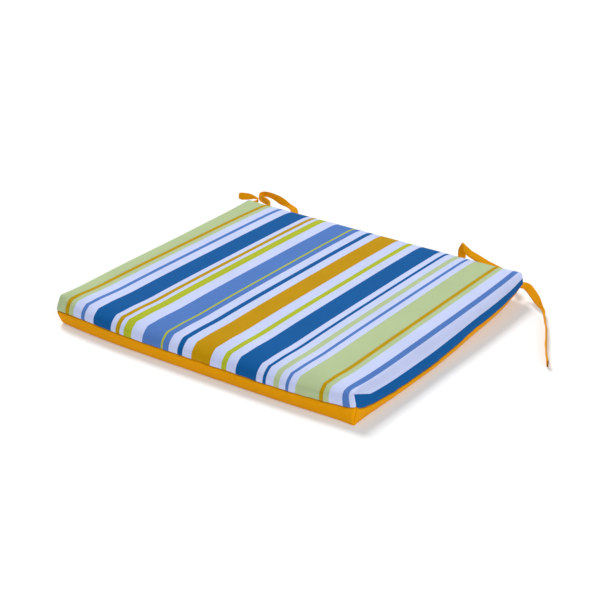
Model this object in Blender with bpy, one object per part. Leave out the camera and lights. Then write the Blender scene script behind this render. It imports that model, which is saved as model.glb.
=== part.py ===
"""Chair seat pad: a foam slab in a sewn cover of two cloth panels, with four tie strips.

Metres, +Z up. The pad rests on z = 0 with its centre on the origin. -Y is the front edge and
+Y is the rear edge, where the ties are. The cover's two panels meet in one seam round the
walls, and each panel is boxed at its corners with short vertical darts.
"""

import math

import bmesh
import bpy
from mathutils import Vector

# Driving dimensions of the pad, at its corners
PAD_WIDTH = 0.408
PAD_DEPTH = 0.364
PAD_HEIGHT = 0.0365
CORNER_RADIUS = 0.012
TOP_EDGE_RADIUS = 0.0105
BOTTOM_EDGE_RADIUS = 0.008

# How the filled pad swells away from that box
SIDE_BULGE = 0.0085
TOP_CROWN = 0.0025
SEAM_HEIGHT = 0.0165
SEAM_CORNER_RISE = 0.0035
SEAM_RIGHT_DROP = 0.0045

# Cloth, foam and thread
CLOTH_THICKNESS = 0.0012
SEAM_GAP = 0.0011
FOAM_INSET = 0.0030
FOAM_CORNER_RADIUS = 0.014
THREAD_RADIUS = 0.0004
THREAD_INSET = 0.00205
THREAD_STEP = 0.0016  # height between neighbouring runs of thread

# Ties
TIE_WIDTH = 0.010
TIE_THICKNESS = 0.0016
TIE_STATIONS = 56
TACK_LENGTH = 0.010
CLOSING_LENGTH = 0.180

HALF_X = PAD_WIDTH / 2
HALF_Y = PAD_DEPTH / 2
COLUMNS = 12
ROWS = 11


def clear_scene():
    for item in list(bpy.data.objects):
        bpy.data.objects.remove(item)


def make_material(name, colour, roughness):
    material = bpy.data.materials.new(name)
    material.use_nodes = True
    shader = material.node_tree.nodes["Principled BSDF"]
    shader.inputs["Base Color"].default_value = (*colour, 1)
    shader.inputs["Roughness"].default_value = roughness
    shader.inputs["Metallic"].default_value = 0.0
    material.diffuse_color = (*colour, 1)
    return material


def add_object(name, data, material):
    data.materials.append(material)
    item = bpy.data.objects.new(name, data)
    bpy.context.scene.collection.objects.link(item)
    return item


# ---- the swollen shape that every piece of the pad follows ----

def seam_shift(across, along):
    """How far the seam line rises or drops, for a place given as parts of the half sizes."""
    rise = SEAM_CORNER_RISE * across ** 4 * along ** 4
    drop = SEAM_RIGHT_DROP * max(across, 0) ** 9 * (1 - along ** 2)
    return rise - drop


def swollen(point):
    """Moves a point of the plain box to where the filled cover holds it."""
    across = max(-1, min(1, point.x / HALF_X))
    along = max(-1, min(1, point.y / HALF_Y))
    height = max(0, min(1, point.z / PAD_HEIGHT))
    belly = math.sin(math.pi * height)
    seam = SEAM_HEIGHT / PAD_HEIGHT
    nearness = height / seam if height < seam else (1 - height) / (1 - seam)
    crown = TOP_CROWN * (1 - across ** 8) * (1 - along ** 8) * height
    return Vector((
        point.x + SIDE_BULGE * across ** 7 * (1 - along ** 2) * belly,
        point.y + SIDE_BULGE * along ** 7 * (1 - across ** 2) * belly,
        point.z + crown + seam_shift(across, along) * nearness,
    ))


def edges_at(mesh, test):
    return [edge for edge in mesh.edges if all(test(vertex.co) for vertex in edge.verts)]


def round_edges(mesh, edges, radius, segments):
    bmesh.ops.bevel(
        mesh, geom=edges, offset=radius, offset_type="OFFSET", segments=segments,
        profile=0.5, affect="EDGES", clamp_overlap=False,
    )


def cut(mesh, place, direction, clear_below=False):
    bmesh.ops.bisect_plane(
        mesh, geom=mesh.verts[:] + mesh.edges[:] + mesh.faces[:], dist=1e-6,
        plane_co=place, plane_no=direction, clear_inner=clear_below,
    )


def pad_form(inset=0.0, corner=CORNER_RADIUS, keep_above=None, keep_below=None):
    """The pad's shape, moved in by inset all round, whole or on one side of a height."""
    mesh = bmesh.new()
    bmesh.ops.create_cube(mesh, size=1)
    size = Vector((PAD_WIDTH, PAD_DEPTH, PAD_HEIGHT)) - Vector((2, 2, 2)) * inset
    bmesh.ops.scale(mesh, vec=size, verts=mesh.verts)
    bmesh.ops.translate(mesh, vec=(0, 0, PAD_HEIGHT / 2), verts=mesh.verts)
    upright = [edge for edge in mesh.edges if abs(edge.verts[0].co.z - edge.verts[1].co.z) > 0.001]
    round_edges(mesh, upright, corner, 4)
    top = PAD_HEIGHT - inset
    round_edges(mesh, edges_at(mesh, lambda co: co.z > top - 1e-5), TOP_EDGE_RADIUS - inset, 4)
    round_edges(mesh, edges_at(mesh, lambda co: co.z < inset + 1e-5), BOTTOM_EDGE_RADIUS - inset, 3)
    for column in range(1, COLUMNS):
        cut(mesh, (PAD_WIDTH * (column / COLUMNS - 0.5), 0, 0), (1, 0, 0))
    for row in range(1, ROWS):
        cut(mesh, (0, PAD_DEPTH * (row / ROWS - 0.5), 0), (0, 1, 0))
    if keep_above is not None:
        cut(mesh, (0, 0, keep_above), (0, 0, 1), clear_below=True)
    if keep_below is not None:
        cut(mesh, (0, 0, keep_below), (0, 0, -1), clear_below=True)
    for vertex in mesh.verts:
        vertex.co = swollen(vertex.co)
    bmesh.ops.recalc_face_normals(mesh, faces=mesh.faces)
    return mesh


def mesh_object(name, mesh, material):
    data = bpy.data.meshes.new(name)
    mesh.to_mesh(data)
    mesh.free()
    data.shade_smooth()
    data.set_sharp_from_angle(angle=math.radians(40))
    return add_object(name, data, material)


# ---- the foam and the two cloth panels ----

def make_foam(material):
    return mesh_object("foam_core", pad_form(FOAM_INSET, FOAM_CORNER_RADIUS), material)


def make_panel(name, mesh, material):
    """A cloth shell: an open half of the pad's shape, thickened inwards."""
    panel = mesh_object(name, mesh, material)
    wall = panel.modifiers.new("cloth", "SOLIDIFY")
    wall.thickness = CLOTH_THICKNESS
    wall.offset = -1
    wall.use_even_offset = True
    return panel


# ---- threads, which run inside the cover beside the seams they close ----

def make_thread(name, points, material, closed=False):
    curve = bpy.data.curves.new(name, "CURVE")
    curve.dimensions = "3D"
    curve.resolution_u = 1
    curve.render_resolution_u = 0
    curve.bevel_depth = THREAD_RADIUS
    curve.bevel_resolution = 1
    curve.use_fill_caps = True
    spline = curve.splines.new("POLY")
    spline.points.add(len(points) - 1)
    for place, point in zip(spline.points, points):
        place.co = (*point, 1)
    spline.use_cyclic_u = closed
    return add_object(name, curve, material)


def wall_run(start, end, height, steps):
    """Points beside the inside of a wall, between two places on the plain box."""
    run = []
    for step in range(steps + 1):
        place = Vector(start).lerp(Vector(end), step / steps)
        run.append(swollen(Vector((place.x, place.y, height))))
    return run


def seam_ring():
    """Points all round the inside of the seam, with an arc at each corner."""
    reach = CORNER_RADIUS - THREAD_INSET
    inner_x = HALF_X - CORNER_RADIUS
    inner_y = HALF_Y - CORNER_RADIUS
    ring = []
    for quarter, (side_x, side_y) in enumerate(((1, 1), (-1, 1), (-1, -1), (1, -1))):
        for step in range(5):
            angle = (quarter + step / 4) * math.pi / 2
            place = Vector((side_x * inner_x, side_y * inner_y, SEAM_HEIGHT))
            ring.append(swollen(place + reach * Vector((math.cos(angle), math.sin(angle), 0))))
        length = inner_x if side_x == side_y else inner_y
        steps = round(2 * length / 0.034)
        next_x, next_y = ((-1, 1), (-1, -1), (1, -1), (1, 1))[quarter]
        turn = (quarter + 1) * math.pi / 2
        away = reach * Vector((math.cos(turn), math.sin(turn), 0))
        start = Vector((side_x * inner_x, side_y * inner_y, 0)) + away
        end = Vector((next_x * inner_x, next_y * inner_y, 0)) + away
        ring += wall_run(start, end, SEAM_HEIGHT, steps)[1:-1]
    return ring


def dart_points(side_x, side_y, low, high):
    """A dart's thread, up the inside of one corner."""
    reach = (CORNER_RADIUS - THREAD_INSET) / math.sqrt(2)
    x = side_x * (HALF_X - CORNER_RADIUS + reach)
    y = side_y * (HALF_Y - CORNER_RADIUS + reach)
    return [swollen(Vector((x, y, low + (high - low) * step / 4))) for step in range(5)]


# ---- ties: flat strips that leave the seam at the rear corners and lie loose ----
# Each point is x, y, z and the strip's lean in degrees: 0 stands on its edge and 90 lies flat.

TIE_ROUTES = {
    "tie_right_side": (
        (0.2004, 0.1832, 0.0175, -72), (0.2040, 0.1877, 0.0168, -54), (0.2100, 0.1884, 0.0150, -46),
        (0.2212, 0.1806, 0.0118, -54), (0.2330, 0.1707, 0.0090, -38), (0.2450, 0.1585, 0.0068, -10),
        (0.2545, 0.1440, 0.0058, 5), (0.2650, 0.1270, 0.0056, 8), (0.2775, 0.1035, 0.0056, 8),
        (0.2905, 0.0773, 0.0056, 8), (0.3008, 0.0590, 0.0056, 6), (0.3108, 0.0419, 0.0056, 4),
    ),
    "tie_right_rear": (
        (0.1880, 0.1848, 0.0175, 90), (0.1878, 0.1905, 0.0170, 80), (0.1830, 0.1982, 0.0158, 55),
        (0.1720, 0.2050, 0.0150, 50), (0.1600, 0.2110, 0.0152, 55), (0.1476, 0.2142, 0.0164, 58),
        (0.1360, 0.2150, 0.0190, 58), (0.1223, 0.2152, 0.0232, 60), (0.1110, 0.2155, 0.0274, 68),
        (0.1030, 0.2170, 0.0345, 84), (0.1004, 0.2195, 0.0325, 95), (0.0985, 0.2228, 0.0200, 95),
        (0.0965, 0.2255, 0.0100, 92), (0.0900, 0.2280, 0.0042, 90), (0.0790, 0.2295, 0.0018, 90),
        (0.0630, 0.2305, 0.0012, 90), (0.0400, 0.2310, 0.0011, 90),
    ),
    "tie_left_rear": (
        (-0.1860, 0.1848, 0.0175, -90), (-0.1863, 0.1905, 0.0170, -75), (-0.1880, 0.2040, 0.0172, -30),
        (-0.1935, 0.2165, 0.0180, 0), (-0.2036, 0.2240, 0.0184, 4), (-0.2130, 0.2285, 0.0178, 4),
        (-0.2215, 0.2335, 0.0168, 2), (-0.2280, 0.2395, 0.0164, 6), (-0.2250, 0.2432, 0.0186, 15),
        (-0.2150, 0.2425, 0.0204, 15), (-0.2020, 0.2410, 0.0196, 0), (-0.1890, 0.2400, 0.0165, -35),
        (-0.1780, 0.2392, 0.0134, -60), (-0.1690, 0.2368, 0.0112, -76), (-0.1625, 0.2300, 0.0066, -86),
        (-0.1560, 0.2215, 0.0022, -90), (-0.1450, 0.2150, 0.0011, -90), (-0.1280, 0.2125, 0.0011, -90),
    ),
    "tie_left_side": (
        (-0.2062, 0.1700, 0.0175, 88), (-0.2125, 0.1702, 0.0168, 70), (-0.2178, 0.1640, 0.0135, 30),
        (-0.2182, 0.1500, 0.0080, 4), (-0.2190, 0.1370, 0.0056, 0), (-0.2222, 0.1275, 0.0056, 0),
        (-0.2276, 0.1275, 0.0056, 0), (-0.2308, 0.1370, 0.0056, 0), (-0.2302, 0.1540, 0.0058, 0),
        (-0.2288, 0.1730, 0.0072, 0), (-0.2266, 0.1900, 0.0098, 0), (-0.2238, 0.2050, 0.0138, 0),
        (-0.2170, 0.2180, 0.0172, 4), (-0.2198, 0.2250, 0.0188, 8), (-0.2290, 0.2250, 0.0196, 8),
        (-0.2364, 0.2232, 0.0193, 8), (-0.2428, 0.2213, 0.0187, 12), (-0.2492, 0.2215, 0.0180, 16),
    ),
}


def smooth_route(points, count):
    """Evenly many points on a Catmull-Rom curve through the route, with its lean."""
    def between(before, start, end, after, t):
        return 0.5 * (
            2 * start + (end - before) * t
            + (2 * before - 5 * start + 4 * end - after) * t * t
            + (3 * start - before - 3 * end + after) * t ** 3
        )

    route = [Vector(point) for point in points]
    route = [2 * route[0] - route[1], *route, 2 * route[-1] - route[-2]]
    spans = len(points) - 1
    placed = []
    for index in range(count):
        reach = spans * index / (count - 1)
        span = min(int(reach), spans - 1)
        placed.append(between(*route[span:span + 4], reach - span))
    return placed


def make_tie(name, route, material):
    curve = bpy.data.curves.new(name, "CURVE")
    curve.dimensions = "3D"
    curve.twist_mode = "Z_UP"
    curve.resolution_u = 1
    curve.render_resolution_u = 0
    curve.extrude = (TIE_WIDTH - TIE_THICKNESS) / 2
    curve.bevel_depth = TIE_THICKNESS / 2
    curve.bevel_resolution = 1
    curve.use_fill_caps = True
    spline = curve.splines.new("POLY")
    stations = smooth_route(route, TIE_STATIONS)
    spline.points.add(len(stations) - 1)
    for place, station in zip(spline.points, stations):
        x, y, z, lean = station
        place.co = (x, y, z, 1)
        place.tilt = math.radians(lean)
    return add_object(name, curve, material)


def tack_points(name):
    """The reinforcing stitches behind a tie's root, along the inside of its wall."""
    x, y = TIE_ROUTES[name][0][:2]
    half = TACK_LENGTH / 2
    height = SEAM_HEIGHT + THREAD_STEP
    if name.endswith("side"):
        wall = math.copysign(HALF_X - THREAD_INSET, x)
        middle = min(y, HALF_Y - CORNER_RADIUS - half)
        return wall_run((wall, middle - half, 0), (wall, middle + half, 0), height, 4)
    wall = HALF_Y - THREAD_INSET
    return wall_run((x - half, wall, 0), (x + half, wall, 0), height, 4)


def main():
    clear_scene()
    striped = make_material("striped_cotton", (0.55, 0.62, 0.78), 0.9)
    mustard = make_material("mustard_cotton", (0.60, 0.29, 0.004), 0.9)
    foam = make_material("foam", (0.86, 0.83, 0.70), 1.0)
    thread = make_material("mustard_thread", (0.55, 0.25, 0.004), 0.7)

    make_foam(foam)
    upper = pad_form(keep_above=SEAM_HEIGHT + SEAM_GAP / 2)
    make_panel("cover_top_panel", upper, striped)
    lower = pad_form(keep_below=SEAM_HEIGHT - SEAM_GAP / 2)
    make_panel("cover_bottom_panel", lower, mustard)

    make_thread("perimeter_seam_thread", seam_ring(), thread, closed=True)
    rear = HALF_Y - THREAD_INSET
    closing = wall_run(
        (-CLOSING_LENGTH / 2, rear, 0), (CLOSING_LENGTH / 2, rear, 0), SEAM_HEIGHT - THREAD_STEP, 10
    )
    make_thread("closing_seam_thread", closing, thread)
    for end, side_y in (("front", -1), ("rear", 1)):
        for side, side_x in (("left", -1), ("right", 1)):
            low = SEAM_HEIGHT + 2 * THREAD_STEP
            high = PAD_HEIGHT - TOP_EDGE_RADIUS + 0.002
            top = dart_points(side_x, side_y, low, high)
            make_thread(f"dart_thread_{end}_{side}_top", top, thread)
            bottom = dart_points(side_x, side_y, BOTTOM_EDGE_RADIUS - 0.001, SEAM_HEIGHT - THREAD_STEP)
            make_thread(f"dart_thread_{end}_{side}_bottom", bottom, thread)
    for name, route in TIE_ROUTES.items():
        make_tie(name, route, mustard)
        make_thread(name.replace("tie_", "tie_tack_"), tack_points(name), thread)


main()
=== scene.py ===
import math

import bmesh
import bpy
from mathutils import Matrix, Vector, noise


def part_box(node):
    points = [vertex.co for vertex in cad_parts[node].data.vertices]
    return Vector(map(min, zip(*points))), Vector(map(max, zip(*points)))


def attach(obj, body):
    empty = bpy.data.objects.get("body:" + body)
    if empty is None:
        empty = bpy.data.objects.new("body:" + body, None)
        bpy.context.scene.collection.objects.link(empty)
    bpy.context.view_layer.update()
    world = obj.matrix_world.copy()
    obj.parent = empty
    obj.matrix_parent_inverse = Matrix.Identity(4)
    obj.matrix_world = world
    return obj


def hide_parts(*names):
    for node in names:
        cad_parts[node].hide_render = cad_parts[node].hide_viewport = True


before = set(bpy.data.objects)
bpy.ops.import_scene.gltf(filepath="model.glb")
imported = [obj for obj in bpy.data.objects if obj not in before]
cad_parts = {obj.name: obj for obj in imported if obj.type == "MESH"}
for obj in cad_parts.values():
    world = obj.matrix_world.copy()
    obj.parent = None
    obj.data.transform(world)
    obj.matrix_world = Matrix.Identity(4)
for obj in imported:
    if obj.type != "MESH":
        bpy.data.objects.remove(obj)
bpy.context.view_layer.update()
print("frame loaded")


def addObject(name, data):
    made = bpy.data.objects.new(name, data)
    bpy.context.scene.collection.objects.link(made)
    return made


def meshFrom(bm, name):
    data = bpy.data.meshes.new(name)
    bm.to_mesh(data)
    bm.free()
    data.shade_smooth()
    return data


camera = {
    "azimuth": 35.17,  # degrees round from the front edge, towards the right
    "elevation": 25.43,
    "lens": 93.94,
    "distance": 1.878,
    "target": (-0.0124, 0.0292, 0.0),
}


def placeCamera():
    turn = math.radians(camera["azimuth"])
    lift = math.radians(camera["elevation"])
    back = Vector((math.sin(turn) * math.cos(lift), -math.cos(turn) * math.cos(lift), math.sin(lift)))
    data = bpy.data.cameras.new("camera")
    data.lens = camera["lens"]
    data.sensor_width = 36
    eye = addObject("camera", data)
    eye.location = Vector(camera["target"]) + back * camera["distance"]
    eye.rotation_mode = "QUATERNION"
    eye.rotation_quaternion = (-back).to_track_quat("-Z", "Y")
    bpy.context.scene.camera = eye


placeCamera()


def fromSrgb(red, green, blue):
    def linear(part):
        part = part / 255
        return part / 12.92 if part <= 0.04045 else ((part + 0.055) / 1.055) ** 2.4

    return (linear(red), linear(green), linear(blue), 1)


class nodeBuilder:  # short calls for wiring one node tree
    def __init__(self, tree):
        self.tree = tree

    def add(self, kind, inputs=None, **settings):
        node = self.tree.nodes.new(kind)
        for key, value in settings.items():
            setattr(node, key, value)
        for key, value in (inputs or {}).items():
            if isinstance(value, bpy.types.NodeSocket):
                self.tree.links.new(value, node.inputs[key])
            else:
                node.inputs[key].default_value = value
        return node

    def math(self, operation, first, second=0.0):
        return self.add("ShaderNodeMath", {0: first, 1: second}, operation=operation).outputs[0]

    def mix(self, share, first, second, blend="MIX"):
        node = self.add("ShaderNodeMix", data_type="RGBA", blend_type=blend)
        for index, value in ((0, share), (6, first), (7, second)):
            if isinstance(value, bpy.types.NodeSocket):
                self.tree.links.new(value, node.inputs[index])
            else:
                node.inputs[index].default_value = value
        return node.outputs[2]

    def darken(self, colour, share):
        grey = self.add("ShaderNodeCombineColor", {0: share, 1: share, 2: share}).outputs[0]
        return self.mix(1.0, colour, grey, "MULTIPLY")


def newGroup(name, inputs, outputs):
    group = bpy.data.node_groups.new(name, "ShaderNodeTree")
    for label, kind, value in inputs:
        socket = group.interface.new_socket(label, in_out="INPUT", socket_type=kind)
        if value is not None:
            socket.default_value = value
    for label, kind in outputs:
        group.interface.new_socket(label, in_out="OUTPUT", socket_type=kind)
    return group


# Plain weave: warp and weft pass over each other in turn, and every yarn varies in thickness.
def makeWeaveGroup():
    group = newGroup(
        "plainWeave",
        (("Vector", "NodeSocketVector", None), ("Pitch", "NodeSocketFloat", 0.0005)),
        (("Height", "NodeSocketFloat"), ("Shade", "NodeSocketFloat")),
    )
    make = nodeBuilder(group)
    entry = make.add("NodeGroupInput")
    split = make.add("ShaderNodeSeparateXYZ", {0: entry.outputs["Vector"]})
    angle = make.math("DIVIDE", math.pi, entry.outputs["Pitch"])
    warp = make.math("SINE", make.math("MULTIPLY", split.outputs[0], angle))
    weft = make.math("SINE", make.math("MULTIPLY", split.outputs[1], angle))
    crossing = make.math("MULTIPLY", warp, weft)
    bumps = make.math("SQRT", make.math("ABSOLUTE", crossing))
    slubs = []
    for stretch in ((1700, 90, 1), (90, 1700, 1)):
        turned = make.add("ShaderNodeVectorMath", {0: entry.outputs["Vector"], 1: stretch})
        turned.operation = "MULTIPLY"
        yarn = make.add("ShaderNodeTexNoise", {"Vector": turned.outputs[0], "Scale": 1.0, "Detail": 2.0})
        slubs.append(yarn.outputs[0])
    slub = make.math("MULTIPLY", make.math("ADD", slubs[0], slubs[1]), 0.5)
    height = make.math("ADD", make.math("MULTIPLY", bumps, 0.6), make.math("MULTIPLY", slub, 0.8))
    shade = make.math("ADD", make.math("MULTIPLY", crossing, 0.12), slub)
    leave = make.add("NodeGroupOutput")
    group.links.new(height, leave.inputs["Height"])
    group.links.new(shade, leave.inputs["Shade"])
    return group


weaveGroup = makeWeaveGroup()

cloth = {
    "roughness": (0.94, 0.78),  # between the yarns and on top of them
    "sheen": 0.02,
    "sheenRoughness": 0.5,
    "specular": 0.05,
    "pitch": 0.00052,  # one yarn to the next
    "bump": 0.35,
    "bumpHeight": 0.0003,
    "patchScale": 18.0,  # the print is slightly uneven over a few centimetres
    "shades": (0.90, 1.06),  # darkest and lightest
}

# The print runs across the width of the cloth and starts again at the end of the list.
stripes = {
    "start": 0.1441,
    "edge": 0.00018,  # how far the ink creeps
    "colours": {
        "white": fromSrgb(194, 203, 238),
        "leaf": fromSrgb(174, 190, 144),
        "gold": fromSrgb(178, 142, 0),
        "lime": fromSrgb(171, 179, 42),
        "sky": fromSrgb(80, 119, 186),
        "navy": fromSrgb(12, 86, 150),
        "amber": fromSrgb(186, 140, 0),
    },
    "run": (
        ("leaf", 0.0291), ("gold", 0.0048), ("leaf", 0.0068), ("white", 0.0126), ("sky", 0.0060),
        ("white", 0.0124), ("navy", 0.0265), ("white", 0.0070), ("gold", 0.0051), ("white", 0.0058),
        ("lime", 0.0107), ("white", 0.0155), ("sky", 0.0262), ("lime", 0.0029), ("sky", 0.0075),
        ("white", 0.0130), ("navy", 0.0057), ("white", 0.0128), ("amber", 0.0262), ("white", 0.0138),
        ("lime", 0.0068), ("white", 0.0125), ("navy", 0.0275), ("white", 0.0083), ("navy", 0.0038),
        ("white", 0.0087), ("leaf", 0.0077), ("white", 0.0079), ("sky", 0.0041), ("white", 0.0085),
    ),
}


def newMaterial(name):
    material = bpy.data.materials.new(name)
    material.use_nodes = True
    material.node_tree.nodes.clear()
    return material, nodeBuilder(material.node_tree)


# The woven surface that every piece of cloth has, over its own colour.
def finishCloth(make, colour, uv):
    weave = make.add("ShaderNodeGroup", node_tree=weaveGroup)
    make.tree.links.new(uv, weave.inputs["Vector"])
    weave.inputs["Pitch"].default_value = cloth["pitch"]
    height = weave.outputs["Height"]
    patch = make.add("ShaderNodeTexNoise", {"Vector": uv, "Scale": cloth["patchScale"], "Detail": 3.0})
    halfWeave = make.math("MULTIPLY", weave.outputs["Shade"], 0.5)
    halfPatch = make.math("MULTIPLY", patch.outputs[0], 0.5)
    shade = make.math("ADD", halfWeave, halfPatch)
    darkest, lightest = cloth["shades"]
    dark = make.add("ShaderNodeMapRange", {0: shade, 1: 0.25, 2: 0.75, 3: darkest, 4: lightest})
    low, high = cloth["roughness"]
    rough = make.add("ShaderNodeMapRange", {0: height, 3: low, 4: high})
    bump = make.add("ShaderNodeBump", {
        "Strength": cloth["bump"], "Distance": cloth["bumpHeight"], "Height": height,
    })
    shader = make.add("ShaderNodeBsdfPrincipled", {
        "Base Color": make.darken(colour, dark.outputs[0]), "Roughness": rough.outputs[0],
        "Normal": bump.outputs[0], "Sheen Weight": cloth["sheen"],
        "Sheen Roughness": cloth["sheenRoughness"], "Specular IOR Level": cloth["specular"],
    })
    end = make.add("ShaderNodeOutputMaterial")
    make.tree.links.new(shader.outputs[0], end.inputs[0])


def makeStripedCotton():
    material, make = newMaterial("stripedCotton")
    uv = make.add("ShaderNodeUVMap", uv_map="cloth").outputs[0]
    across = make.add("ShaderNodeSeparateXYZ", {0: uv}).outputs[0]
    creep = make.add("ShaderNodeTexNoise", {"Vector": uv, "Scale": 900.0, "Detail": 2.0}).outputs[0]
    crept = make.math("MULTIPLY_ADD", creep, 2 * stripes["edge"])
    crept.node.inputs[2].default_value = -stripes["edge"] - stripes["start"]
    repeat = sum(width for _, width in stripes["run"])
    turns = make.math("DIVIDE", make.math("ADD", across, crept), repeat)
    place = make.math("FRACT", turns)
    ramp = make.add("ShaderNodeValToRGB", {0: place})
    ramp.color_ramp.interpolation = "CONSTANT"
    stops = ramp.color_ramp.elements
    stops.remove(stops[1])
    reach = 0.0
    for index, (ink, width) in enumerate(stripes["run"]):
        stop = stops[0] if index == 0 else stops.new(reach / repeat)
        stop.position = reach / repeat
        stop.color = stripes["colours"][ink]
        reach += width
    finishCloth(make, ramp.outputs[0], uv)
    return material


def makePlainCotton(name, colour):
    material, make = newMaterial(name)
    uv = make.add("ShaderNodeUVMap", uv_map="cloth").outputs[0]
    base = make.add("ShaderNodeRGB")
    base.outputs[0].default_value = colour
    finishCloth(make, base.outputs[0], uv)
    return material


def makeThread(name, colour):
    material, make = newMaterial(name)
    place = make.add("ShaderNodeTexCoord").outputs["Object"]
    fibres = make.add("ShaderNodeTexNoise", {"Vector": place, "Scale": 2500.0, "Detail": 2.0}).outputs[0]
    shaded = make.mix(fibres, tuple(0.7 * part for part in colour[:3]) + (1,), colour)
    bump = make.add("ShaderNodeBump", {"Strength": 0.4, "Distance": 0.0002, "Height": fibres})
    shader = make.add("ShaderNodeBsdfPrincipled", {
        "Base Color": shaded, "Roughness": 0.6, "Normal": bump.outputs[0], "Sheen Weight": 0.1,
    })
    end = make.add("ShaderNodeOutputMaterial")
    make.tree.links.new(shader.outputs[0], end.inputs[0])
    return material


def makeFoamFinish():
    material, make = newMaterial("openCellFoam")
    place = make.add("ShaderNodeTexCoord").outputs["Object"]
    cells = make.add("ShaderNodeTexVoronoi", {"Vector": place, "Scale": 900.0}).outputs["Distance"]
    cloudy = make.add("ShaderNodeTexNoise", {"Vector": place, "Scale": 40.0, "Detail": 3.0}).outputs[0]
    tone = make.mix(cloudy, fromSrgb(236, 226, 190), fromSrgb(246, 240, 214))
    # The middles of the foam's cells are darkened: painted shade in their hollows. The bump below gives
    # the hollows their shape.
    cellShade = make.add("ShaderNodeMapRange", {0: cells, 1: 0.0, 2: 0.6, 3: 0.72, 4: 1.0}).outputs[0]
    shaded = make.darken(tone, cellShade)
    bump = make.add("ShaderNodeBump", {"Strength": 0.6, "Distance": 0.0008, "Height": cells})
    shader = make.add("ShaderNodeBsdfPrincipled", {
        "Base Color": shaded, "Roughness": 0.97, "Normal": bump.outputs[0], "Specular IOR Level": 0.2,
    })
    end = make.add("ShaderNodeOutputMaterial")
    make.tree.links.new(shader.outputs[0], end.inputs[0])
    return material


mustard = fromSrgb(226, 152, 0)
stripedCotton = makeStripedCotton()
mustardCotton = makePlainCotton("mustardCotton", mustard)
tieCotton = makePlainCotton("tieCotton", mustard)
mustardThread = makeThread("mustardThread", fromSrgb(222, 146, 6))
foamFinish = makeFoamFinish()
print("finishes made")


def assign(piece, material, slot, *nodes):
    piece.data.materials.append(material)
    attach(piece, "root")
    if nodes:
        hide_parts(*nodes)


# The cover is made as a plain box of cloth first. Its seam runs round the walls.
pad = {
    "halfX": 0.2045,  # half the width between the corners
    "halfY": 0.1825,
    "height": 0.0380,
    "edgeReach": 0.016,  # where the top starts to fall towards an edge
    "frontReach": 0.032,
    "edgeDrop": 0.0135,  # and how far it falls
    "cornerReach": 0.005,  # the same at the corners, which stand up
    "cornerDrop": 0.005,
    "cornerSize": 0.028,
    "rearRise": 0.0035,  # the rear edge and the left edge near the front are rounded less
    "leftRise": 0.0032,
    "lowRound": 0.0040,
    "lowCornerRound": (0.0045, 0.0010),  # at the left and the right corners
    "rightTuck": 0.0055,  # towards the rear, the right wall is tucked in under the seam
    "rearTuck": 0.0105,  # so are the rear corners
    "rearTuckSize": 0.03,
    "footPush": (0.0030, 0.0040),  # the front right corner stands out at the floor
    "footSize": 0.014,
    "planRound": 0.002,  # the corners seen from above
    # how far each wall bulges at the seam, and how much of that is left at the top and at the floor
    "bulges": {
        "front": (0.0095, 0.85, 0.80), "rear": (0.0060, 0.40, 0.45),
        "left": (0.0065, 0.45, 0.45), "right": (0.0090, 0.55, 0.60),
    },
    "cornerPush": (0.0050, 0.0022),  # the darts push the seam out at the front corners
    "pushSize": 0.016,
    "rearPush": 0.4,  # and by this share of it at the rear ones
    "crown": 0.0030,  # the middle of the top stands this much higher
    "seam": 0.0170,
    "seamRise": 0.0045,  # the seam climbs towards the corners
    "frontLeftRise": -0.2,  # the share of that at the front left one
    "seamRightDrop": 0.0076,  # the seam sags along the right wall
    "seamRearGive": 0.85,  # but loses this share of it towards the rear
    "columns": 88,
    "rows": 78,
    "fold": 0.0012,  # from a seam to the next row of the mesh
    "levels": (0.0, 0.0050, 0.0105, 0.0156, 0.0170, 0.0184, 0.0225, 0.0275, 0.0330, 0.0380),
}


def smoothStep(value):
    value = max(0, min(1, value))
    return value * value * (3 - 2 * value)


# How far a point moves inwards and down when a sharp edge is rounded to a quarter of an ellipse.
def rounded(inward, upward, reach, drop):
    inward = (inward + reach) / reach
    upward = (upward + drop) / drop
    if inward <= 0 or upward <= 0:
        return 0.0, 0.0
    outermost = max(inward, upward)
    length = math.hypot(inward, upward)
    return (inward - outermost * inward / length) * reach, (upward - outermost * upward / length) * drop


# How far a wall stands out at a part of the height: least at the floor, most at the seam.
def bulgeAt(wall, part):
    most, atTop, atFloor = pad["bulges"][wall]
    seam = pad["seam"] / pad["height"]
    if part < seam:
        return most * (atFloor + (1 - atFloor) * math.sin(math.pi / 2 * part / seam))
    return most * (atTop + (1 - atTop) * math.cos(math.pi / 2 * (part - seam) / (1 - seam)))


# How far the seam is above its even height. across and along go from -1 to 1 over the pad.
def seamShift(across, along):
    rise = pad["seamRise"] * along ** 4 * across ** (4 if along > 0 else 16)
    rise *= pad["frontLeftRise"] if across < 0 and along < 0 else 1
    drop = pad["seamRightDrop"] * max(across, 0) ** 9 * (1 - along ** 16)
    drop *= 1 - pad["seamRearGive"] * smoothStep((along + 0.2) / 0.6)
    return rise - drop


# How close a point is to one of the four corners, 1 at the corner.
def cornerNearness(box, reach):
    away = math.hypot(pad["halfX"] - abs(box.x), pad["halfY"] - abs(box.y))
    return math.exp(-away / reach)


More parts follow.
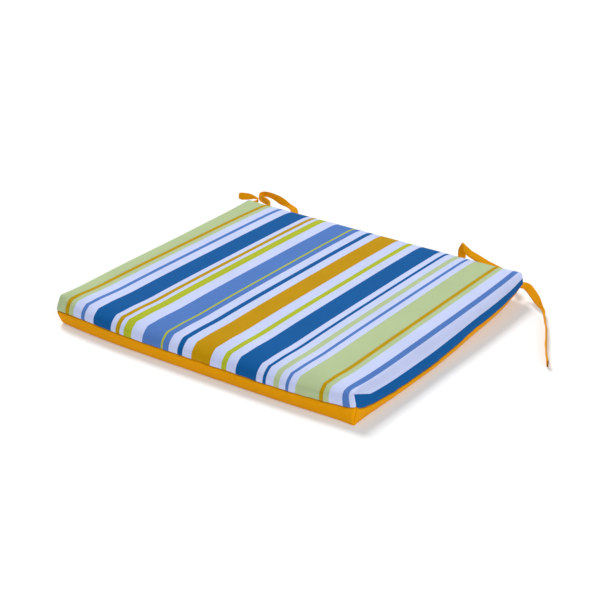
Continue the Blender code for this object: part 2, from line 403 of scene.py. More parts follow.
# How far the rounded edges move a point of the box inwards, down from the top and up from the floor.
def edgeRounding(box, along):
    height = pad["height"]
    pastX, pastY = abs(box.x) - pad["halfX"], abs(box.y) - pad["halfY"]
    corner = cornerNearness(box, pad["cornerSize"])
    reach = pad["edgeReach"] + (pad["cornerReach"] - pad["edgeReach"]) * corner
    reachY = reach if box.y > 0 else pad["frontReach"] + (pad["cornerReach"] - pad["frontReach"]) * corner
    drop = pad["edgeDrop"] + (pad["cornerDrop"] - pad["edgeDrop"]) * corner
    dropX = drop - pad["leftRise"] * (1 - corner) * math.exp(-((along + 0.45) / 0.4) ** 2) * (box.x < 0)
    dropY = drop - pad["rearRise"] * (1 - corner) * (box.y > 0)
    low = pad["lowRound"] + (pad["lowCornerRound"][box.x > 0] - pad["lowRound"]) * corner
    inX, inY = rounded(pastX, pastY, pad["planRound"], pad["planRound"])
    topX, downX = rounded(pastX, box.z - height, reach, dropX)
    topY, downY = rounded(pastY, box.z - height, reachY, dropY)
    lowX, upX = rounded(pastX, -box.z, low, low)
    lowY, upY = rounded(pastY, -box.z, low, low)
    return inX + topX + lowX, inY + topY + lowY, math.hypot(downX, downY), math.hypot(upX, upY)


# How far the filling pushes a point of the box outwards. part is its share of the pad's height.
def wallPush(box, across, along, part):
    signX, signY = math.copysign(1, box.x), math.copysign(1, box.y)
    push = cornerNearness(box, pad["pushSize"]) * math.sin(math.pi * min(1, part * 1.1)) ** 2
    push *= pad["rearPush"] if box.y > 0 else 1
    outX = across ** 7 * (1 - along ** 4) * bulgeAt("right" if box.x > 0 else "left", part)
    outY = along ** 7 * (1 - across ** 4) * bulgeAt("rear" if box.y > 0 else "front", part)
    outX += signX * push * pad["cornerPush"][0]
    outY += signY * push * pad["cornerPush"][1]
    under = max(0, 1 - part * pad["height"] / pad["seam"])
    tuck = pad["rightTuck"] * max(across, 0) ** 9 * smoothStep((along + 0.2) / 0.8)
    rear = pad["rearTuck"] * cornerNearness(box, pad["rearTuckSize"]) * (box.y > 0)
    foot = cornerNearness(box, pad["footSize"]) * (box.x > 0 > box.y)
    outX -= (tuck + signX * rear - foot * pad["footPush"][0]) * under
    outY -= (rear + foot * pad["footPush"][1]) * under
    return outX, outY


# Where a point of the plain box is once the cover is filled.
def swollen(box):
    across, along = box.x / pad["halfX"], box.y / pad["halfY"]
    part = box.z / pad["height"]
    seam = pad["seam"] / pad["height"]
    inX, inY, down, up = edgeRounding(box, along)
    outX, outY = wallPush(box, across, along, part)
    crown = pad["crown"] * (1 - across ** 6) * (1 - abs(along) ** (6 if along > 0 else 3)) * part
    nearness = part / seam if part < seam else (1 - part) / (1 - seam)
    return Vector((
        box.x - math.copysign(inX, box.x) + outX,
        box.y - math.copysign(inY, box.y) + outY,
        box.z - down + up + crown + seamShift(across, along) * nearness,
    ))


# A row of the grid: even spacing, with one narrow space beside each end.
def gridPlace(index, count, half):
    if index == 0 or index == count:
        return math.copysign(half, index - 1)
    inner = half - pad["fold"]
    return -inner + 2 * inner * (index - 1) / (count - 2)


# The cloth was cut a little off the line of its stripes, and the front edge pulls them to the left.
layout = {
    "lean": 0.0137,
    "leanLeft": 0.068,  # the lean grows towards the left
    "frontPull": 0.0075,
    "frontStart": 0.12,
    "frontLeft": 0.35,  # the front edge pulls more at the left
    # how far the cloth is pulled, where that starts and over what width it grows
    "frontEase": (0.7, 0.17, 0.025),  # a share of the front edge's pull
    "leftPull": (0.0022, 0.09, 0.05),
    "rightPull": (0.0049, 0.15, 0.038),
    "rightGive": (0.0022, 0.190, 0.012),
    "dartPull": 0.0070,  # the right wall's stripes curl up to the front dart
    "dartReach": 0.025,
}


def pulled(name, across):
    most, start, width = layout[name]
    return most * smoothStep((across - start) / width)


# Where a point of the box lies on the flat cloth. side is 0 for the left and right walls, 1 for the
# front and rear walls, 2 for the top and the underside.
def clothPlace(box, side, upper):
    down = pad["height"] - box.z if upper else box.z
    across, along = box.x, box.y
    if side == 0:
        across = math.copysign(pad["halfX"] + down, box.x)
    if side == 1:
        along = math.copysign(pad["halfY"] + down, box.y)
    front = max(0, (-box.y - layout["frontStart"]) / (pad["halfY"] - layout["frontStart"])) ** 3
    pull = 1 + layout["frontLeft"] * max(0, -box.x / pad["halfX"]) - pulled("frontEase", box.x)
    moved = layout["frontPull"] * front * pull
    moved += pulled("leftPull", -box.x)
    moved += pulled("rightPull", box.x)
    moved -= pulled("rightGive", box.x)
    if side == 0 and box.x > 0:
        moved = layout["rightPull"][0] - layout["rightGive"][0]
        moved += layout["dartPull"] * max(0, 1 - (box.y + pad["halfY"]) / layout["dartReach"])
    lean = layout["lean"] - layout["leanLeft"] * min(across, 0.2)
    return across - lean * along * (side != 0 or box.x < 0) + moved, along


# The whole cover as one closed grid, with each point's place on the plain box.
def makeCoverGrid():
    bm = bmesh.new()
    bmesh.ops.create_cube(bm, size=2)
    cuts = (pad["columns"] - 1, pad["rows"] - 1, len(pad["levels"]) - 2)
    for axis in range(3):
        others = [other for other in range(3) if other != axis]
        edges = [
            edge for edge in bm.edges
            if all(abs(edge.verts[0].co[other] - edge.verts[1].co[other]) < 1e-5 for other in others)
        ]
        bmesh.ops.subdivide_edges(bm, edges=edges, cuts=cuts[axis], use_grid_fill=True)
    boxed = bm.verts.layers.float_vector.new("boxed")
    cloth = bm.loops.layers.uv.new("cloth")
    bm.normal_update()
    sides = [max(range(3), key=lambda axis: abs(face.normal[axis])) for face in bm.faces]
    for vertex in bm.verts:
        column = round((vertex.co.x + 1) / 2 * pad["columns"])
        row = round((vertex.co.y + 1) / 2 * pad["rows"])
        level = round((vertex.co.z + 1) / 2 * (len(pad["levels"]) - 1))
        box = Vector((
            gridPlace(column, pad["columns"], pad["halfX"]),
            gridPlace(row, pad["rows"], pad["halfY"]),
            pad["levels"][level],
        ))
        vertex[boxed] = box
        vertex.co = swollen(box)
    for face, side in zip(bm.faces, sides):
        height = sum(loop.vert[boxed].z for loop in face.loops) / len(face.loops)
        for loop in face.loops:
            loop[cloth].uv = clothPlace(loop.vert[boxed], side, height > pad["seam"])
    return bm


filling = {
    "frames": 20,
    "quality": 6,
    "mass": 0.15,
    "stretch": 40,
    "shear": 12,
    "bend": 0.4,
    "pressure": 0.9,
    "slack": -0.045,  # extra cloth beside the seams and at the corners
    "seamSlack": 0.008,
    "cornerSlack": 0.03,
    "most": 0.0035,  # no point moves further than this
    "topHold": 0.12,
    "wallHold": 0.02,
    "holdReach": 0.05,  # from an edge to where the top is held fully
}


def seamNearness(box, reach):
    return math.exp(-abs(box.z - pad["seam"]) / reach)


# How much a point is held while the cover is filled: 1 doesn't move.
def holdOf(box):
    if box.z < pad["seam"] + 0.0001:
        return 1.0
    inward = min(pad["halfX"] - abs(box.x), pad["halfY"] - abs(box.y))
    if inward < 0.0001:
        return filling["wallHold"]
    gained = filling["topHold"] - filling["wallHold"]
    return filling["wallHold"] + gained * min(1, inward / filling["holdReach"])


# A short simulation: the foam presses the cloth out, and the points below the seam stay put.
def fillCover(bm):
    boxed = bm.verts.layers.float_vector["boxed"]
    filled = addObject("filled", bpy.data.meshes.new("filled"))
    bm.to_mesh(filled.data)
    held = filled.vertex_groups.new(name="held")
    slack = filled.vertex_groups.new(name="slack")
    for index, vertex in enumerate(bm.verts):
        box = vertex[boxed]
        nearSeam = seamNearness(box, filling["seamSlack"])
        nearCorner = cornerNearness(box, filling["cornerSlack"])
        held.add([index], holdOf(box), "REPLACE")
        slack.add([index], max(nearSeam, nearCorner), "REPLACE")
    fill = filled.modifiers.new("fill", "CLOTH")
    fill.settings.quality = filling["quality"]
    fill.settings.mass = filling["mass"]
    fill.settings.tension_stiffness = filling["stretch"]
    fill.settings.compression_stiffness = filling["stretch"]
    fill.settings.shear_stiffness = filling["shear"]
    fill.settings.bending_stiffness = filling["bend"]
    fill.settings.use_pressure = True
    fill.settings.uniform_pressure_force = filling["pressure"]
    fill.settings.vertex_group_mass = "held"
    fill.settings.vertex_group_shrink = "slack"
    fill.settings.shrink_min = 0
    fill.settings.shrink_max = filling["slack"]
    fill.settings.effector_weights.gravity = 0
    fill.collision_settings.use_collision = False
    fill.collision_settings.use_self_collision = False
    fill.point_cache.frame_end = filling["frames"]
    for index in range(1, filling["frames"] + 1):
        bpy.context.scene.frame_set(index)
    graph = bpy.context.evaluated_depsgraph_get()
    result = [vertex.co.copy() for vertex in filled.evaluated_get(graph).data.vertices]
    bpy.context.scene.frame_set(1)
    bpy.data.objects.remove(filled)
    furthest = 0
    for vertex, after in zip(bm.verts, result):
        step = after - vertex.co
        furthest = max(furthest, step.length)
        if step.length > filling["most"]:
            step *= filling["most"] / step.length
        vertex.co = vertex.co + step
    print("cover filled; the furthest point moved", round(furthest * 1000, 2), "mm")


# The stitching pulls the cloth into the seams and puckers it on both sides.
sewing = {
    "seamDepth": 0.0011,
    "seamJitter": 0.0004,
    "dartDepth": 0.0036,
    "dartTop": 0.0345,
    "dartRunOut": 0.012,  # over this height a dart grows shallow towards its top
    "edgeWidth": 0.03,  # the stitching shows no further in than this
    "pucker": 0.0011,
    "puckerReach": 0.006,
    "puckerLength": 0.0085,  # from one pucker to the next
    "wave": 0.0007,  # how far the seam strays up and down
    "waveReach": 0.012,
    "allowance": 0.0035,  # cloth turned inside along a seam
    "turnUp": 0.0008,
    "clothThickness": 0.0007,
}


# Straight out of the nearest wall, turning quickly from one wall to the next at a corner.
def outwardOf(box):
    across = box.x / pad["halfX"]
    along = box.y / pad["halfY"]
    if abs(across) > abs(along):
        return Vector((math.copysign(1, across), along ** 15, 0)).normalized()
    return Vector((across ** 15, math.copysign(1, along), 0)).normalized()


def sewCover(bm):
    boxed = bm.verts.layers.float_vector["boxed"]
    for vertex in bm.verts:
        box = vertex[boxed]
        inward = min(pad["halfX"] - abs(box.x), pad["halfY"] - abs(box.y))
        if inward > sewing["edgeWidth"]:
            continue
        out = outwardOf(box)
        here = Vector((box.x, box.y, box.z * 0.4)) / sewing["puckerLength"]
        gather = noise.noise(here)
        fade = max(0, 1 - inward / sewing["edgeWidth"])
        near = seamNearness(box, sewing["puckerReach"]) * fade
        if box.z < 0.004:
            near = 0
        vertex.co += out * gather * sewing["pucker"] * near
        atSeam = abs(box.z - pad["seam"]) < 0.0001
        if atSeam:
            vertex.co -= out * sewing["seamDepth"]
            vertex.co.z += sewing["seamJitter"] * noise.noise(here * 0.8 + Vector((7, 3, 1)))
        stray = sewing["wave"] * noise.noise(Vector((box.x, box.y, 3)) * 28)
        vertex.co.z += stray * seamNearness(box, sewing["waveReach"])
        if isDart(box) and box.z > 0.001:
            belowTop = sewing["dartTop"] - box.z
            vertex.co -= out * sewing["dartDepth"] * min(1, belowTop / sewing["dartRunOut"])


def isDart(box):
    atCorner = pad["halfX"] - abs(box.x) < 0.0001 and pad["halfY"] - abs(box.y) < 0.0001
    return atCorner and box.z < sewing["dartTop"]


# One half of the cover, open at the seam, with its edge turned inside.
def makePanel(bm, name, upper, material, slot, *nodes):
    panel = bm.copy()
    boxed = panel.verts.layers.float_vector["boxed"]
    away = [
        face for face in panel.faces
        if (sum(vertex[boxed].z for vertex in face.verts) / len(face.verts) > pad["seam"]) != upper
    ]
    bmesh.ops.delete(panel, geom=away, context="FACES")
    crease = panel.edges.layers.float.new("crease_edge")
    for edge in panel.edges:
        if all(isDart(vertex[boxed]) for vertex in edge.verts):
            edge[crease] = 0.9
    rim = [edge for edge in panel.edges if edge.is_boundary]
    turn = bmesh.ops.extrude_edge_only(panel, edges=rim)
    for vertex in (item for item in turn["geom"] if isinstance(item, bmesh.types.BMVert)):
        vertex.co -= outwardOf(vertex[boxed]) * sewing["allowance"]
        vertex.co.z += sewing["turnUp"] if upper else -sewing["turnUp"]
    bmesh.ops.recalc_face_normals(panel, faces=panel.faces)
    panel.verts.layers.float_vector.remove(boxed)
    piece = addObject(name, meshFrom(panel, name))
    smooth = piece.modifiers.new("smooth", "SUBSURF")
    smooth.levels = 1
    smooth.render_levels = 1
    smooth.boundary_smooth = "PRESERVE_CORNERS"
    smooth.uv_smooth = "PRESERVE_BOUNDARIES"
    wall = piece.modifiers.new("wall", "SOLIDIFY")
    wall.thickness = sewing["clothThickness"]
    wall.offset = -1
    assign(piece, material, slot, *nodes)
    return piece


bm = makeCoverGrid()
fillCover(bm)
sewCover(bm)
topPanel = makePanel(bm, "topPanel", True, stripedCotton, "striped_cotton", "cover_top_panel")
bottomPanel = makePanel(bm, "bottomPanel", False, mustardCotton, "mustard_cotton", "cover_bottom_panel")
bm.free()
print("cover made")


foam = {
    "halfX": 0.1965,
    "halfY": 0.1745,
    "low": 0.0020,
    "high": 0.0335,
    "edge": 0.0080,
    "corner": 0.014,
    "longestSide": 0.012,  # of a face, so that the roughness shows
    "roughness": 0.00025,
}


def makeFoam():
    bm = bmesh.new()
    bmesh.ops.create_cube(bm, size=2)
    for vertex in bm.verts:
        vertex.co.x *= foam["halfX"]
        vertex.co.y *= foam["halfY"]
        vertex.co.z = foam["high"] if vertex.co.z > 0 else foam["low"]
    upright = [edge for edge in bm.edges if abs(edge.verts[0].co.z - edge.verts[1].co.z) > 0.01]
    bmesh.ops.bevel(
        bm, geom=upright, offset=foam["corner"], offset_type="OFFSET", segments=6, affect="EDGES",
        profile=0.5, material=-1,
    )
    rims = [
        edge for edge in bm.edges
        if edge.calc_face_angle(0) > 1.2 and abs(edge.verts[0].co.z - edge.verts[1].co.z) < 0.001
    ]
    bmesh.ops.bevel(
        bm, geom=rims, offset=foam["edge"], offset_type="OFFSET", segments=4, affect="EDGES",
        profile=0.5, material=-1,
    )
    bmesh.ops.triangulate(bm, faces=[face for face in bm.faces if len(face.verts) > 4])
    for _ in range(3):
        tooLong = [edge for edge in bm.edges if edge.calc_length() > foam["longestSide"]]
        bmesh.ops.subdivide_edges(bm, edges=tooLong, cuts=1)
    for vertex in bm.verts:
        vertex.co += vertex.normal * foam["roughness"] * noise.noise(vertex.co * 400)
    bmesh.ops.recalc_face_normals(bm, faces=bm.faces)
    return addObject("foamSlab", meshFrom(bm, "foamSlab"))


foamSlab = makeFoam()
assign(foamSlab, foamFinish, "foam", "foam_core")
print("foam made")


# One stitch: a short soft rod with rounded ends, along a direction and lying on a surface.
def addStitch(bm, place, run, out, length, thickness):
    run = run.normalized()
    side = out.cross(run).normalized()
    out = run.cross(side)
    rings = []
    for part, width in ((-0.5, 0.35), (-0.36, 0.85), (0, 1.0), (0.36, 0.85), (0.5, 0.35)):
        arch = out * thickness * 0.45 * (1 - 4 * part * part)
        ring = []
        for step in range(6):
            angle = step * math.pi / 3
            spoke = (side * math.cos(angle) + out * math.sin(angle)) * thickness / 2 * width
            ring.append(bm.verts.new(place + run * length * part + arch + spoke))
        rings.append(ring)
    for first, second in zip(rings, rings[1:]):
        for step in range(6):
            after = (step + 1) % 6
            bm.faces.new((first[step], first[after], second[after], second[step]))
    bm.faces.new(rings[0][::-1])
    bm.faces.new(rings[-1])


thread = {
    "thickness": 0.0006,
    "seamStitch": 0.0030,
    "dartStitch": 0.0026,
    "closingStitch": 0.0034,
    "closingLength": 0.180,
    "closingSlant": 0.55,
    "closingDepth": 0.0005,
    "cover": 0.8,  # how much of its spacing a stitch takes up
    "depth": 0.0012,  # the stitches lie at the bottom of the seam's groove
    "inset": 0.001,
}


# Even points along the seam, a little inside the walls of the plain box.
def seamLine(spacing):
    halfX, halfY = pad["halfX"] - thread["inset"], pad["halfY"] - thread["inset"]
    corners = [(-halfX, -halfY), (halfX, -halfY), (halfX, halfY), (-halfX, halfY), (-halfX, -halfY)]
    line = []
    for (fromX, fromY), (toX, toY) in zip(corners, corners[1:]):
        count = round(math.hypot(toX - fromX, toY - fromY) / spacing)
        for step in range(count):
            part = (step + 0.5) / count
            line.append(Vector((fromX + (toX - fromX) * part, fromY + (toY - fromY) * part, pad["seam"])))
    return line


def finishStitches(bm, name, *nodes):
    bmesh.ops.recalc_face_normals(bm, faces=bm.faces)
    piece = addObject(name, meshFrom(bm, name))
    assign(piece, mustardThread, "mustard_thread", *nodes)
    return piece


def makeSeamThread():
    bm = bmesh.new()
    for box in seamLine(thread["seamStitch"]):
        out = outwardOf(box)
        run = Vector((-out.y, out.x, 0))
        place = swollen(box + out * thread["inset"]) - out * (sewing["seamDepth"] + thread["depth"])
        addStitch(bm, place, run, out, thread["seamStitch"] * thread["cover"], thread["thickness"])
    return finishStitches(bm, "seamStitches", "perimeter_seam_thread")


def makeClosingThread():
    bm = bmesh.new()
    count = round(thread["closingLength"] / thread["closingStitch"])
    out = Vector((0, 1, 0))
    slant = Vector((1, 0, thread["closingSlant"]))
    for step in range(count):
        across = ((step + 0.5) / count - 0.5) * thread["closingLength"]
        place = swollen(Vector((across, pad["halfY"], pad["seam"]))) - out * thread["closingDepth"]
        addStitch(bm, place, slant, out, thread["closingStitch"], thread["thickness"])
    return finishStitches(bm, "closingStitches", "closing_seam_thread")


def makeDartThread(signX, signY, upper):
    bm = bmesh.new()
    low = pad["seam"] + 0.0015 if upper else 0.003
    high = sewing["dartTop"] - 0.003 if upper else pad["seam"] - 0.0015
    count = max(2, round((high - low) / thread["dartStitch"]))
    out = Vector((signX, signY, 0)).normalized()
    for step in range(count):
        level = low + (high - low) * (step + 0.5) / count
        place = swollen(Vector((signX * pad["halfX"], signY * pad["halfY"], level)))
        place -= out * (sewing["dartDepth"] + thread["depth"])
        stitch = thread["dartStitch"] * thread["cover"]
        addStitch(bm, place, Vector((0, 0, 1)), out, stitch, thread["thickness"])
    end = "rear" if signY > 0 else "front"
    hand = "right" if signX > 0 else "left"
    panel = "top" if upper else "bottom"
    name = "dart" + end.title() + hand.title() + panel.title()
    finishStitches(bm, name, f"dart_thread_{end}_{hand}_{panel}")


makeSeamThread()
makeClosingThread()
for signX in (-1, 1):
    for signY in (-1, 1):
        makeDartThread(signX, signY, True)
        makeDartThread(signX, signY, False)
print("threads made")


# Each route is (x, y, z, lean): a tie stands on its edge at 0 and lies flat at 90 degrees.
ties = {
    "width": 0.010,
    "thickness": 0.0016,
    "stations": 110,
    "stitch": 0.0027,
    "stitchInset": 0.0016,
    "stitchCover": 0.72,  # how much of its spacing a stitch takes up
    "stitchThickness": 0.00042,
    "lowest": 0.0003,  # no part of a tie is nearer the floor than this
    "lowestStitch": 0.0007,
    "ripple": 0.0006,  # one edge up, the other down
    "cup": 0.0009,  # both edges up or down
    "smoothRoot": 0.02,  # ripple and cup grow over this length
    # where a tie is crumpled narrower: how far along, how much is left of its width, over what length
    "pinches": {
        "tie_right_side": ((0.060, 0.45, 0.015),),
        "tie_right_rear": ((0.1055, 0.28, 0.0070),),
        "tie_left_rear": ((0.080, 0.8, 0.010), (0.128, 0.7, 0.008)),
        "tie_left_side": ((0.163, 0.25, 0.011),),
    },
    "routes": {
        "tie_right_side": (
            (0.2004, 0.1832, 0.0175, -72), (0.2040, 0.1877, 0.0168, -54), (0.2100, 0.1884, 0.0150, -46),
            (0.2212, 0.1806, 0.0118, -54), (0.2330, 0.1707, 0.0090, -38), (0.2450, 0.1585, 0.0068, -10),
            (0.2545, 0.1440, 0.0058, 5), (0.2650, 0.1270, 0.0056, 8), (0.2775, 0.1035, 0.0056, 8),
            (0.2905, 0.0773, 0.0056, 8), (0.3008, 0.0590, 0.0056, 6), (0.3108, 0.0419, 0.0056, 4),
        ),
        "tie_right_rear": (
            (0.1880, 0.1848, 0.0175, 90), (0.1878, 0.1905, 0.0170, 80), (0.1830, 0.1982, 0.0158, 55),
            (0.1720, 0.2050, 0.0150, 50), (0.1600, 0.2110, 0.0152, 55), (0.1476, 0.2142, 0.0164, 58),
            (0.1360, 0.2150, 0.0190, 58), (0.1223, 0.2152, 0.0232, 60), (0.1110, 0.2155, 0.0274, 68),
            (0.1030, 0.2170, 0.0345, 84), (0.1004, 0.2195, 0.0325, 95), (0.0985, 0.2228, 0.0200, 95),
            (0.0965, 0.2255, 0.0100, 92), (0.0900, 0.2280, 0.0042, 90), (0.0790, 0.2295, 0.0018, 90),
            (0.0630, 0.2305, 0.0012, 90), (0.0400, 0.2310, 0.0011, 90),
        ),
        "tie_left_rear": (
            (-0.1860, 0.1848, 0.0175, -90), (-0.1863, 0.1905, 0.0170, -75), (-0.1880, 0.2040, 0.0172, -30),
            (-0.1935, 0.2165, 0.0180, 0), (-0.2036, 0.2240, 0.0184, 4), (-0.2130, 0.2285, 0.0178, 4),
            (-0.2215, 0.2335, 0.0168, 2), (-0.2280, 0.2395, 0.0164, 6), (-0.2250, 0.2432, 0.0186, 15),
            (-0.2150, 0.2425, 0.0204, 15), (-0.2020, 0.2410, 0.0196, 0), (-0.1890, 0.2400, 0.0165, -35),
            (-0.1780, 0.2392, 0.0134, -60), (-0.1690, 0.2368, 0.0112, -76), (-0.1625, 0.2300, 0.0066, -86),
            (-0.1560, 0.2215, 0.0022, -90), (-0.1450, 0.2150, 0.0011, -90), (-0.1280, 0.2125, 0.0011, -90),
        ),
        "tie_left_side": (
            (-0.2062, 0.1700, 0.0175, 88), (-0.2125, 0.1702, 0.0168, 70), (-0.2178, 0.1640, 0.0135, 30),
            (-0.2182, 0.1500, 0.0080, 4), (-0.2190, 0.1370, 0.0056, 0), (-0.2222, 0.1275, 0.0056, 0),
            (-0.2276, 0.1275, 0.0056, 0), (-0.2308, 0.1370, 0.0056, 0), (-0.2302, 0.1540, 0.0058, 0),
            (-0.2288, 0.1730, 0.0072, 0), (-0.2266, 0.1900, 0.0098, 0), (-0.2238, 0.2050, 0.0138, 0),
            (-0.2170, 0.2180, 0.0172, 4), (-0.2198, 0.2250, 0.0188, 8), (-0.2290, 0.2250, 0.0196, 8),
            (-0.2364, 0.2232, 0.0193, 8), (-0.2428, 0.2213, 0.0187, 12), (-0.2492, 0.2215, 0.0180, 16),
        ),
    },
}


# A smooth curve through the knots of a route, cut at even distances.
def smoothRoute(route, count):
    knots = [Vector(knot) for knot in route]
    knots = [2 * knots[0] - knots[1]] + knots + [2 * knots[-1] - knots[-2]]
    dense = []
    for index in range(1, len(knots) - 2):
        before, start, end, after = knots[index - 1:index + 3]
        for step in range(24):
            part = step / 24
            dense.append(0.5 * (
                2 * start + (end - before) * part
                + (2 * before - 5 * start + 4 * end - after) * part ** 2
                + (3 * start - before - 3 * end + after) * part ** 3
            ))
    dense.append(knots[-2])
    reach = [0.0]
    for first, second in zip(dense, dense[1:]):
        reach.append(reach[-1] + (second.xyz - first.xyz).length)
    even = []
    index = 0
    for step in range(count + 1):
        want = reach[-1] * step / count
        while index < len(reach) - 2 and reach[index + 1] < want:
            index += 1
        part = (want - reach[index]) / (reach[index + 1] - reach[index])
        even.append(dense[index].lerp(dense[index + 1], part))
    return even, reach[-1]


# The line of a tie's centre with its long axis and the way its face looks, at even distances.
def tieFrames(route):
    even, length = smoothRoute(route, ties["stations"])
    frames = []
    for index, knot in enumerate(even):
        before = even[max(0, index - 1)].xyz
        after = even[min(len(even) - 1, index + 1)].xyz
        run = (after - before).normalized()
        right = run.cross(Vector((0, 0, 1)))
        right = right.normalized() if right.length > 0.05 else frames[-1][4]
        upright = right.cross(run).normalized()
        lean = math.radians(knot.w)
        across = upright * math.cos(lean) + right * math.sin(lean)
        frames.append((knot.xyz, run, across, across.cross(run).normalized(), right))
    return frames, length


def tieWidth(node, gone):
    width = 1.0
    for place, left, spread in ties["pinches"][node]:
        width -= (1 - left) * math.exp(-((gone - place) / spread) ** 2)
    return width


# How far the cloth of a tie stands out of its plane, at a place across it. close is its share of width.
def tieBend(seed, gone, place, close):
    half = ties["width"] / 2
    fade = min(1, gone / ties["smoothRoot"])
    ripple = noise.noise(Vector((gone * 55, seed, 0))) * ties["ripple"]
    cup = noise.noise(Vector((gone * 35, seed, 9))) * ties["cup"]
    arch = 1 - (place / half) ** 2
    return cup * fade * arch + ripple * fade * place / half + (1 - close) * half * 0.5 * arch


# The outline of a tie's cross-section: flat, with the folded edges a little thicker.
def tieSection():
    half, deep = ties["width"] / 2, ties["thickness"] / 2
    upper = []
    for step in range(9):
        part = step / 4 - 1
        edge = 0.8 + 0.35 * math.exp(-((abs(part) - 0.72) / 0.16) ** 2)
        upper.append((part * half * 0.94, deep * edge if abs(part) < 0.99 else deep * 0.55))
    return upper + [(half, 0)] + [(across, -out) for across, out in reversed(upper)] + [(-half, 0)]


def makeTieCloth(node, frames, length, seed):
    ring = tieSection()
    around = len(ring)
    bm = bmesh.new()
    cloth = bm.loops.layers.uv.new("cloth")
    rows = []
    for index, (centre, run, across, out, _) in enumerate(frames):
        gone = index / (len(frames) - 1) * length
        close = tieWidth(node, gone) * min(1, 0.82 + (length - gone) / 0.004 * 0.18)
        row = []
        for place, deepness in ring:
            bend = tieBend(seed, gone, place, close)
            point = centre + across * place * close + out * (deepness + bend)
            point.z = max(point.z, ties["lowest"])
            row.append(bm.verts.new(point))
        rows.append(row)
    for index, (first, second) in enumerate(zip(rows, rows[1:])):
        for step in range(around):
            after = (step + 1) % around
            face = bm.faces.new((first[step], first[after], second[after], second[step]))
            face.smooth = True
            for loop, (station, spot) in zip(face.loops, ((0, step), (0, after), (1, after), (1, step))):
                place = ring[spot][0] + (0.02 if ring[spot][1] < 0 else 0)
                loop[cloth].uv = ((index + station) / (len(frames) - 1) * length, place)
    for row, gone in ((rows[0], 0), (rows[-1], length)):
        sides = [bm.edges.get((row[spot], row[(spot + 1) % around])) for spot in range(around)]
        for face in bmesh.ops.grid_fill(bm, edges=sides)["faces"]:
            for loop in face.loops:
                step = row.index(loop.vert)
                loop[cloth].uv = (gone + ring[step][1], ring[step][0])
    bmesh.ops.recalc_face_normals(bm, faces=bm.faces)
    return meshFrom(bm, node)


# One line of stitches near an edge, seen on both faces.
def makeHem(name, node, frames, length, seed):
    deep = ties["thickness"] / 2
    place = ties["stitchInset"] - ties["width"] / 2
    bm = bmesh.new()
    for step in range(1, round((length - 0.004) / ties["stitch"])):
        gone = 0.002 + step * ties["stitch"]
        index = min(len(frames) - 1, round(gone / length * (len(frames) - 1)))
        centre, run, across, out, _ = frames[index]
        close = tieWidth(node, gone)
        bend = tieBend(seed, gone, place, close)
        for face in (-1, 1):
            spot = centre + across * place * close + out * (bend + face * deep * 1.05)
            if spot.z > ties["lowestStitch"]:
                stitch = ties["stitch"] * ties["stitchCover"]
                addStitch(bm, spot, run, out * face, stitch, ties["stitchThickness"])
    return finishStitches(bm, name)


def titleOf(node):
    return node.replace("_", " ").title().replace(" ", "")


def makeTie(node):
    frames, length = tieFrames(ties["routes"][node])
    seed = sum(ord(letter) for letter in node)
    piece = addObject("cloth" + titleOf(node), makeTieCloth(node, frames, length, seed))
    assign(piece, tieCotton, "mustard_cotton", node)
    edging = makeHem("hem" + titleOf(node), node, frames, length, seed)
    return length


for node in ties["routes"]:
    print(node, "is", round(makeTie(node), 4), "long")


tack = {
    "stitches": 5,
    "spacing": 0.0018,
    "length": 0.0042,
    "thickness": 0.0007,
    "slant": 0.2,
}


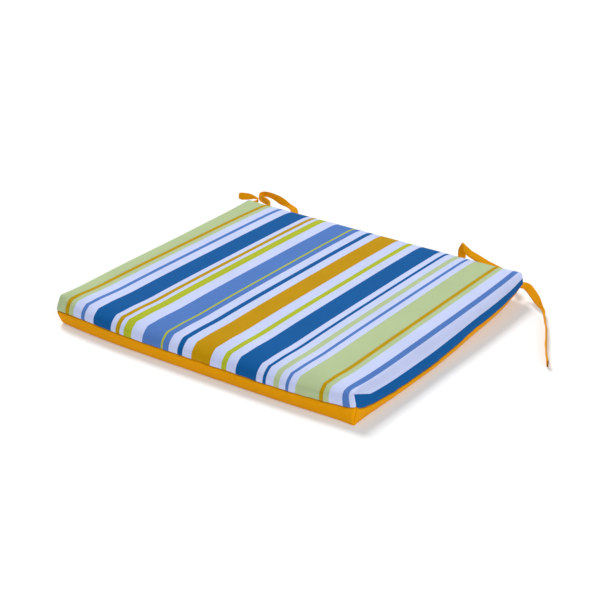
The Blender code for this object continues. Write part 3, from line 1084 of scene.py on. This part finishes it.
# Each tie is caught in the seam with a few stitches side by side.
def makeTack(node):
    part = node.replace("tie", "tie_tack")
    low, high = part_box(part)
    middle = (Vector(low) + Vector(high)) / 2
    wall = Vector((math.copysign(1, middle.x), 0, 0)) if "side" in node else Vector((0, 1, 0))
    along = Vector((-wall.y, wall.x, 0))
    bm = bmesh.new()
    for step in range(tack["stitches"]):
        place = middle + along * (step - (tack["stitches"] - 1) / 2) * tack["spacing"]
        run = Vector((0, 0, 1)) + along * tack["slant"]
        addStitch(bm, place, run, wall, tack["length"], tack["thickness"])
    finishStitches(bm, "tack" + titleOf(node), part)


for node in ties["routes"]:
    makeTack(node)
print("ties made")


studio = {
    "floorSize": 12.0,
    "floor": fromSrgb(244, 244, 244),
    "glow": 0.2,  # how much of the floor is a glowing sheet, and how strong that is
    "glowStrength": 1.1,
    "sky": 0.31,
    "skyTint": (0.95, 0.98, 1.0, 1),
    "lamps": (  # name, where from, strength and spread in degrees
        ("key", (-0.62, 0.38, 0.79), 2.72, 20.0),
        ("frontFill", (0.25, -0.80, 0.28), 0.5, 60.0),
        ("rightFill", (0.95, -0.30, 0.40), 1.65, 60.0),
    ),
}


def makeStudio():
    bm = bmesh.new()
    bmesh.ops.create_grid(bm, x_segments=1, y_segments=1, size=studio["floorSize"] / 2)
    floor = addObject("floor", meshFrom(bm, "floor"))
    material, make = newMaterial("paleFloor")
    shader = make.add("ShaderNodeBsdfPrincipled", {
        "Base Color": studio["floor"], "Roughness": 0.9, "Specular IOR Level": 0.0,
    })
    glow = make.add("ShaderNodeEmission", {"Color": (1, 1, 1, 1), "Strength": studio["glowStrength"]})
    both = make.add("ShaderNodeMixShader", {0: studio["glow"], 1: shader.outputs[0], 2: glow.outputs[0]})
    end = make.add("ShaderNodeOutputMaterial")
    make.tree.links.new(both.outputs[0], end.inputs[0])
    floor.data.materials.append(material)
    world = bpy.data.worlds.new("studio")
    world.use_nodes = True
    background = world.node_tree.nodes["Background"]
    background.inputs[0].default_value = studio["skyTint"]
    background.inputs[1].default_value = studio["sky"]
    bpy.context.scene.world = world
    for name, source, strength, spread in studio["lamps"]:
        light = bpy.data.lights.new(name, "SUN")
        light.energy = strength
        light.angle = math.radians(spread)
        lamp = addObject(name, light)
        lamp.rotation_mode = "QUATERNION"
        lamp.rotation_quaternion = Vector(source).to_track_quat("Z", "Y")
    bpy.context.scene.view_settings.view_transform = "Standard"


makeStudio()
